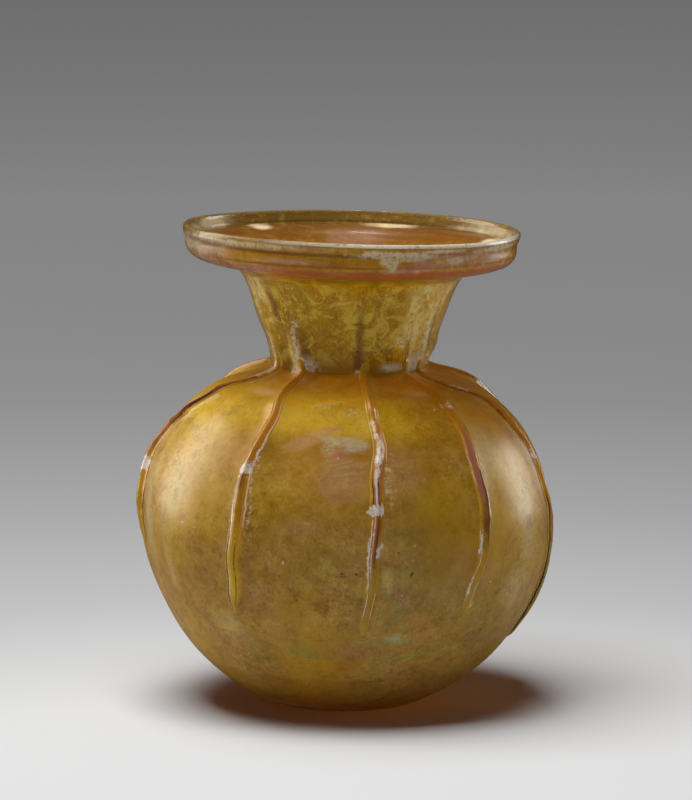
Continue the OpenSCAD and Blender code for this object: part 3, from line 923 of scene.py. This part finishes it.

# For each rib: core colours by height, lines (place across, half width, colour, strength, from and to
# height) and deposits (place across, half width, from and to height, how full)
# Of the lines, the white, pale and ice ones are painted highlights, some with white crust; the black and
# purple ones painted shade
RIB_LOOKS = {
    "rib_1": (
        [(19, OLIVE), (48, OLIVE), (58, REDDISH), (66, REDDISH), (74, ORANGE), (80, NECK_GOLD)],
        [(0.5, 0.14, PURPLE, 0.9, 60, 76), (0.25, 0.35, BLACK, 1.3, 65.5, 71.5),
         (0.85, 0.12, BLACK, 0.9, 36, 58), (0.0, 0.1, PALE, 0.8, 66, 78), (-0.4, 0.1, PALE, 0.6, 70, 78),
         (-0.3, 0.12, BRIGHT, 0.7, 30, 50)],
        [(0.3, 0.7, 51.5, 55.5, -0.2), (0.0, 0.5, 73, 78, -0.3)]),
    "rib_2": (
        [(26, HAZE), (32, BRIGHT), (43, (0.86, 0.50, 0.02)), (53, (0.52, 0.22, 0.02)), (66, ORANGE),
         (74, AMBER), (80, NECK_GOLD)],
        [(-0.62, 0.1, WHITE, 0.75, 28, 56), (-0.78, 0.15, PURPLE, 1.1, 28, 57),
         (-0.55, 0.16, PURPLE, 1.0, 55, 74), (-0.2, 0.1, WHITE, 0.9, 58, 72),
         (0.8, 0.14, PALE, 0.9, 46, 72), (0.3, 0.08, MAROON, 0.9, 26, 44),
         (-0.1, 0.5, PURPLE, 1.2, 53.5, 57), (0.6, 0.12, ORANGE, 0.8, 40, 52),
         (0.25, 0.2, (0.80, 0.50, 0.03), 0.45, 34, 47)],
        [(0.0, 1.2, 57.2, 58.9, 0.1), (-0.5, 0.35, 72, 78, -0.3), (0.8, 0.2, 60, 66, -0.3)]),
    "rib_3": (
        [(21, HAZE), (38, (0.52, 0.34, 0.04)), (46, REDDISH), (66, ORANGE), (74, AMBER), (80, NECK_GOLD)],
        [(-0.1, 0.16, ICE, 1.1, 51, 58), (-0.5, 0.16, PURPLE, 1.1, 50, 60),
         (0.2, 0.14, PURPLE, 0.9, 50, 60), (-0.5, 0.1, WHITE, 0.75, 26, 50),
         (-0.2, 0.09, PALE, 0.8, 34, 50), (0.25, 0.3, MAROON, 1.0, 38, 50),
         (0.85, 0.1, ORANGE, 0.9, 38, 74), (0.7, 0.08, PALE, 0.8, 26, 34),
         (0.6, 0.16, REDDISH, 0.9, 50, 70), (-0.3, 0.09, ORANGE, 0.8, 68, 76)],
        [(-0.1, 0.40, 59.5, 64.5, 0.3), (0.0, 0.22, 56.5, 61, 0.2), (-0.4, 0.45, 63, 69, -0.3),
         (-0.1, 1.1, 49.8, 51.6, 0.1), (-0.55, 0.2, 33, 49, -0.35), (0.8, 0.25, 41, 43.4, 0.0)]),
    "rib_4": (
        [(25, HAZE), (38, OLIVE), (46, MAROON), (58, REDDISH), (66, ORANGE), (74, AMBER), (80, NECK_GOLD)],
        [(-0.85, 0.1, ORANGE, 0.9, 48, 72), (-0.35, 0.3, (0.42, 0.16, 0.12), 0.9, 50, 66),
         (0.0, 0.28, MAROON, 1.0, 42, 58), (0.45, 0.09, PALE, 0.65, 42, 70),
         (-0.7, 0.09, PALE, 0.6, 54, 66), (0.5, 0.08, WHITE, 0.8, 26, 42), (-0.6, 0.08, PALE, 0.8, 26, 46),
         (0.1, 0.1, BLACK, 0.8, 46, 54)],
        [(-0.75, 0.25, 38, 47, -0.35), (-0.7, 0.25, 29, 36, -0.4), (0.2, 0.5, 69.2, 71.2, 0.0)]),
    "rib_5": (
        [(12, OLIVE), (34, (0.50, 0.36, 0.06)), (46, ORANGE), (66, ORANGE), (74, AMBER), (80, NECK_GOLD)],
        [(-0.6, 0.12, PURPLE, 0.9, 52, 76), (-0.45, 0.12, BLACK, 1.0, 14, 50),
         (-0.9, 0.1, MAROON, 0.9, 20, 60), (0.3, 0.1, PALE, 0.7, 54, 74), (0.1, 0.1, MAROON, 0.8, 36, 60)],
        [(-0.4, 0.3, 71.5, 74, -0.5), (-0.5, 0.3, 56.5, 59, -0.1)]),
}
BACK_LOOK = (
    [(20, OLIVE), (44, AMBER), (58, ORANGE), (70, ORANGE), (80, NECK_GOLD)],
    [(-0.5, 0.14, PURPLE, 0.9, 36, 74), (0.0, 0.1, PALE, 0.8, 30, 70), (0.7, 0.1, ORANGE, 0.8, 30, 70)],
    [(-0.3, 0.4, 60, 65, 0.1), (0.3, 0.4, 34, 42, 0.0)])

# A rib's section: place across from left to right, and height, as shares of half its width and of its height
RIB_SECTION = [
    (-1.0, -0.3), (-0.98, 0.02), (-0.72, 0.10), (-0.50, 0.30), (-0.34, 0.62), (-0.18, 0.90), (0.0, 1.0),
    (0.18, 0.90), (0.34, 0.62), (0.50, 0.30), (0.72, 0.10), (0.98, 0.02), (1.0, -0.3), (0.4, -0.42),
    (-0.4, -0.42)]
# In millimetres, how far a rib's underside is sunk in the wall, and how far apart its sections are
RIB_BURIED = 1.0
STATION = 0.7
# A rib's top end has this share of its section, and its foot loses this share over its last few sections
RIB_END = 0.4
RIB_END_ROWS = 6
UV_PER_MM = 0.01


def rib_stations(low):
    """Points of the skin from the rib's top down to its foot, with their outward directions."""
    found = []
    for i, point in enumerate(skin[1:-1], 1):
        if low < point.y < RIB_TOP_Z:
            way = (skin[i + 1] - skin[i - 1]).normalized()
            found.append((point, Vector((way.y, -way.x))))
    dense = []
    for (a, out_a), (b, out_b) in zip(found, found[1:]):
        pieces = max(1, round((b - a).length / STATION))
        for k in range(pieces):
            dense.append((a.lerp(b, k / pieces), out_a.lerp(out_b, k / pieces).normalized()))
    return dense[::-1]


def draw_rib(rib, glass):
    node, route, tall, broad = rib
    path = rib_stations(route[-1][0])
    seed = route[0][1]
    ridge = bmesh.new()
    line = ridge.loops.layers.uv.new("along_rib")
    ring = bmesh.ops.create_circle(ridge, cap_ends=True, segments=len(RIB_SECTION), radius=1)["verts"]
    ridge.faces.ensure_lookup_table()
    ring = [loop.vert for loop in ridge.faces[0].loops]
    place = {}

    def lay(ring, point, out, end):
        z = point.y
        wobble = noise.noise(Vector((seed, z * 0.11, 0)))
        lump = noise.noise(Vector((seed + 5, z * 0.45, 3)))
        half = along(broad, z) * (1 + 0.16 * lump) * end
        high = along(tall, z) * (1 + 0.15 * lump) * end
        bearing = math.radians(along(route, z)) + 0.5 * wobble / point.x
        for vert, (across, lift) in zip(ring, RIB_SECTION):
            rise = high * lift if lift > 0 else RIB_BURIED * lift
            r = point.x + out.x * rise
            az = bearing + half * across / point.x
            vert.co = hand_made(Vector((r * math.sin(az), -r * math.cos(az), z + out.y * rise)))
            place[vert] = (across, z * UV_PER_MM)

    lay(ring, *path[0], RIB_END)
    for k, (point, out) in enumerate(path[1:], 1):
        edges = [ridge.edges.get((a, b)) for a, b in zip(ring, ring[1:] + ring[:1])]
        made = bmesh.ops.extrude_edge_only(ridge, edges=edges)
        fresh = {g for g in made["geom"] if isinstance(g, bmesh.types.BMVert)}
        ring = [next(e.other_vert(v) for e in v.link_edges if e.other_vert(v) in fresh) for v in ring]
        lay(ring, point, out, 1 - RIB_END * smooth(len(path) - RIB_END_ROWS, len(path) - 1, k))
    edges = [ridge.edges.get((a, b)) for a, b in zip(ring, ring[1:] + ring[:1])]
    bmesh.ops.contextual_create(ridge, geom=edges)
    bmesh.ops.recalc_face_normals(ridge, faces=ridge.faces)
    for face in ridge.faces:
        face.smooth = len(face.verts) == 4
        for loop in face.loops:
            loop[line].uv = place[loop.vert]
    piece = finish_mesh("ridge_" + node[-1], ridge)
    piece.data.materials.append(glass)
    dress(piece, "rib_glass", node)


def build_flask():
    shell, rows = spin_shell()
    body, neck_glass, seam = body_wall(), neck_wall(), clear_seam()
    rim, floor = rim_wall("rim_wall", 0.5), rim_wall("rim_floor_wall", 0.15)
    plan = [
        ("foot_disc", ["kick", "foot", "dome"], body, "body_glass", "base"),
        ("round_body", ["body", "body_in"], body, "body_glass", "body_bulb"),
        ("throat_ring", ["throat", "throat_in"], neck_glass, "neck_glass", "throat"),
        ("flaring_neck", ["neck", "neck_in"], neck_glass, "neck_glass", "neck_funnel"),
        ("rim_floor", ["under", "over"], floor, "rim_glass", "rim_dish"),
        ("rolled_fold", ["roll", "fold_top"], rim, "rim_glass", "rim_fold"),
        ("collar_band", ["band", "band_in"], rim, "rim_glass", "rim_collar"),
        ("rounded_lip", ["bead"], lip_crust(), "lip_glass", "lip"),
    ]
    for name, stretches, glass, slot, node in plan:
        piece = part_stretch(shell, rows, name, stretches, glass, seam)
        dress(piece, slot, node)
    shell.free()
    back_glass = ridge_glass("back_ridge_glass", *BACK_LOOK)
    for rib in RIBS:
        look = RIB_LOOKS.get(rib[0])
        glass = ridge_glass("ridge_glass_" + rib[0][-1], *look) if look else back_glass
        draw_rib(rib, glass)


# The camera, at the photograph's height and distance in metres; its focal length is in pixels of the
# photograph
PHOTO_H = 800
FOCAL_PX = 4937
CAMERA_DISTANCE = 1.1
CAMERA_HEIGHT = 0.227
CAMERA_SIDE = 0.00029
CAMERA_PITCH = math.radians(8.228)
SENSOR = 36


def set_camera():
    lens = bpy.data.cameras.new("camera")
    lens.sensor_width = SENSOR
    lens.lens = FOCAL_PX / PHOTO_H * SENSOR
    camera = bpy.data.objects.new("camera", lens)
    camera.location = (CAMERA_SIDE, -CAMERA_DISTANCE, CAMERA_HEIGHT)
    camera.rotation_euler = (math.pi / 2 - CAMERA_PITCH, 0, 0)
    bpy.context.scene.collection.objects.link(camera)
    bpy.context.scene.camera = camera


# The table, in metres: its shades, a painted pool of light that fades with the distance from a place in
# front of the flask, and its own faint glow by that distance
TABLE_REACH = 12
TABLE_SIDES = 96
SHADE_CENTRE = (0, -0.15, 0)
SHADE_REACH = 2.7
TABLE_SHADES = [(0.0, 0.89), (0.054, 0.88), (0.1, 0.63), (0.152, 0.47), (0.23, 0.33), (0.3, 0.30)]
TABLE_IN_GLOSS = 0.3
TABLE_GLOW = [(0.0, 0.0), (0.1, 0.0), (0.152, 0.03), (0.23, 0.08), (0.333, 0.13), (0.46, 0.17), (1.0, 0.14)]


def table_top():
    recipe = Recipe("pale_table")
    away = recipe.math("DIVIDE", recipe.vector("DISTANCE", recipe.place, SHADE_CENTRE), SHADE_REACH)
    path = recipe.node("ShaderNodeLightPath")
    shader = recipe.node("ShaderNodeBsdfDiffuse")
    tone = recipe.ramp(away, [(at, (v, v, v)) for at, v in TABLE_SHADES])
    dim = recipe.mix(1, tone, (TABLE_IN_GLOSS,) * 3, "MULTIPLY")
    recipe.feed(shader.inputs["Color"], recipe.mix(path.outputs["Is Glossy Ray"], tone, dim))
    seen = recipe.math("ADD", path.outputs["Is Camera Ray"], path.outputs["Is Transmission Ray"], clamp=True)
    glow = recipe.node("ShaderNodeEmission")
    recipe.feed(glow.inputs["Color"], recipe.ramp(away, [(at, (v, v, v)) for at, v in TABLE_GLOW]))
    recipe.feed(glow.inputs["Strength"], seen)
    both = recipe.node("ShaderNodeAddShader")
    recipe.tree.links.new(shader.outputs[0], both.inputs[0])
    recipe.tree.links.new(glow.outputs[0], both.inputs[1])
    recipe.finish(both.outputs[0])
    top = bmesh.new()
    bmesh.ops.create_circle(top, cap_ends=True, segments=TABLE_SIDES, radius=TABLE_REACH)
    mesh = bpy.data.meshes.new("table")
    top.to_mesh(mesh)
    top.free()
    table = bpy.data.objects.new("table", mesh)
    table.data.materials.append(recipe.material)
    bpy.context.scene.collection.objects.link(table)


def soft_lamp(name, place, width, height, power, flagged, mirrored):
    """A soft lamp; a flagged one lights the flask alone, and one not mirrored shows in no reflection."""
    data = bpy.data.lights.new(name, "AREA")
    data.shape = "RECTANGLE"
    data.size, data.size_y = width, height
    data.energy = power
    lamp = bpy.data.objects.new(name, data)
    lamp.location = place
    lamp.rotation_euler = (Vector(LAMP_AIM) - Vector(place)).to_track_quat("-Z", "Y").to_euler()
    bpy.context.scene.collection.objects.link(lamp)
    lamp.visible_glossy = mirrored
    lamp.visible_transmission = mirrored
    if flagged:
        lamp.light_linking.receiver_collection = bpy.data.collections["flask"]


ROOM_GREY = 0.03
LAMP_AIM = (0, 0, 0.05)
# Each lamp: its name, place, width and height in metres, its power, whether it is screened off the table,
# and whether it shows in reflections
LAMPS = [
    ("top_softbox", (-0.15, -0.05, 0.95), 0.62, 0.56, 8.8, False, False),
    ("left_softbox", (-0.75, 0.27, 0.31), 0.58, 0.85, 5.6, True, True),
    ("right_softbox", (0.72, 0.42, 0.17), 0.3, 0.5, 2.6, True, True),
    ("front_fill", (0.25, -0.95, 0.55), 0.5, 0.5, 1.0, True, False),
    ("high_spark", (-0.02, 0.52, 0.9), 0.1, 0.08, 0.5, True, True),
    ("back_softbox", (0.06, 0.85, 0.55), 0.5, 0.08, 0.4, True, False),
]


def light_room():
    world = bpy.data.worlds.new("room")
    world.use_nodes = True
    world.node_tree.nodes["Background"].inputs["Color"].default_value = (ROOM_GREY, ROOM_GREY, ROOM_GREY, 1)
    bpy.context.scene.world = world
    for lamp in LAMPS:
        soft_lamp(*lamp)


def main():
    flask_collection()
    set_camera()
    table_top()
    light_room()
    build_flask()
    bpy.context.scene.view_settings.view_transform = "Standard"


main()
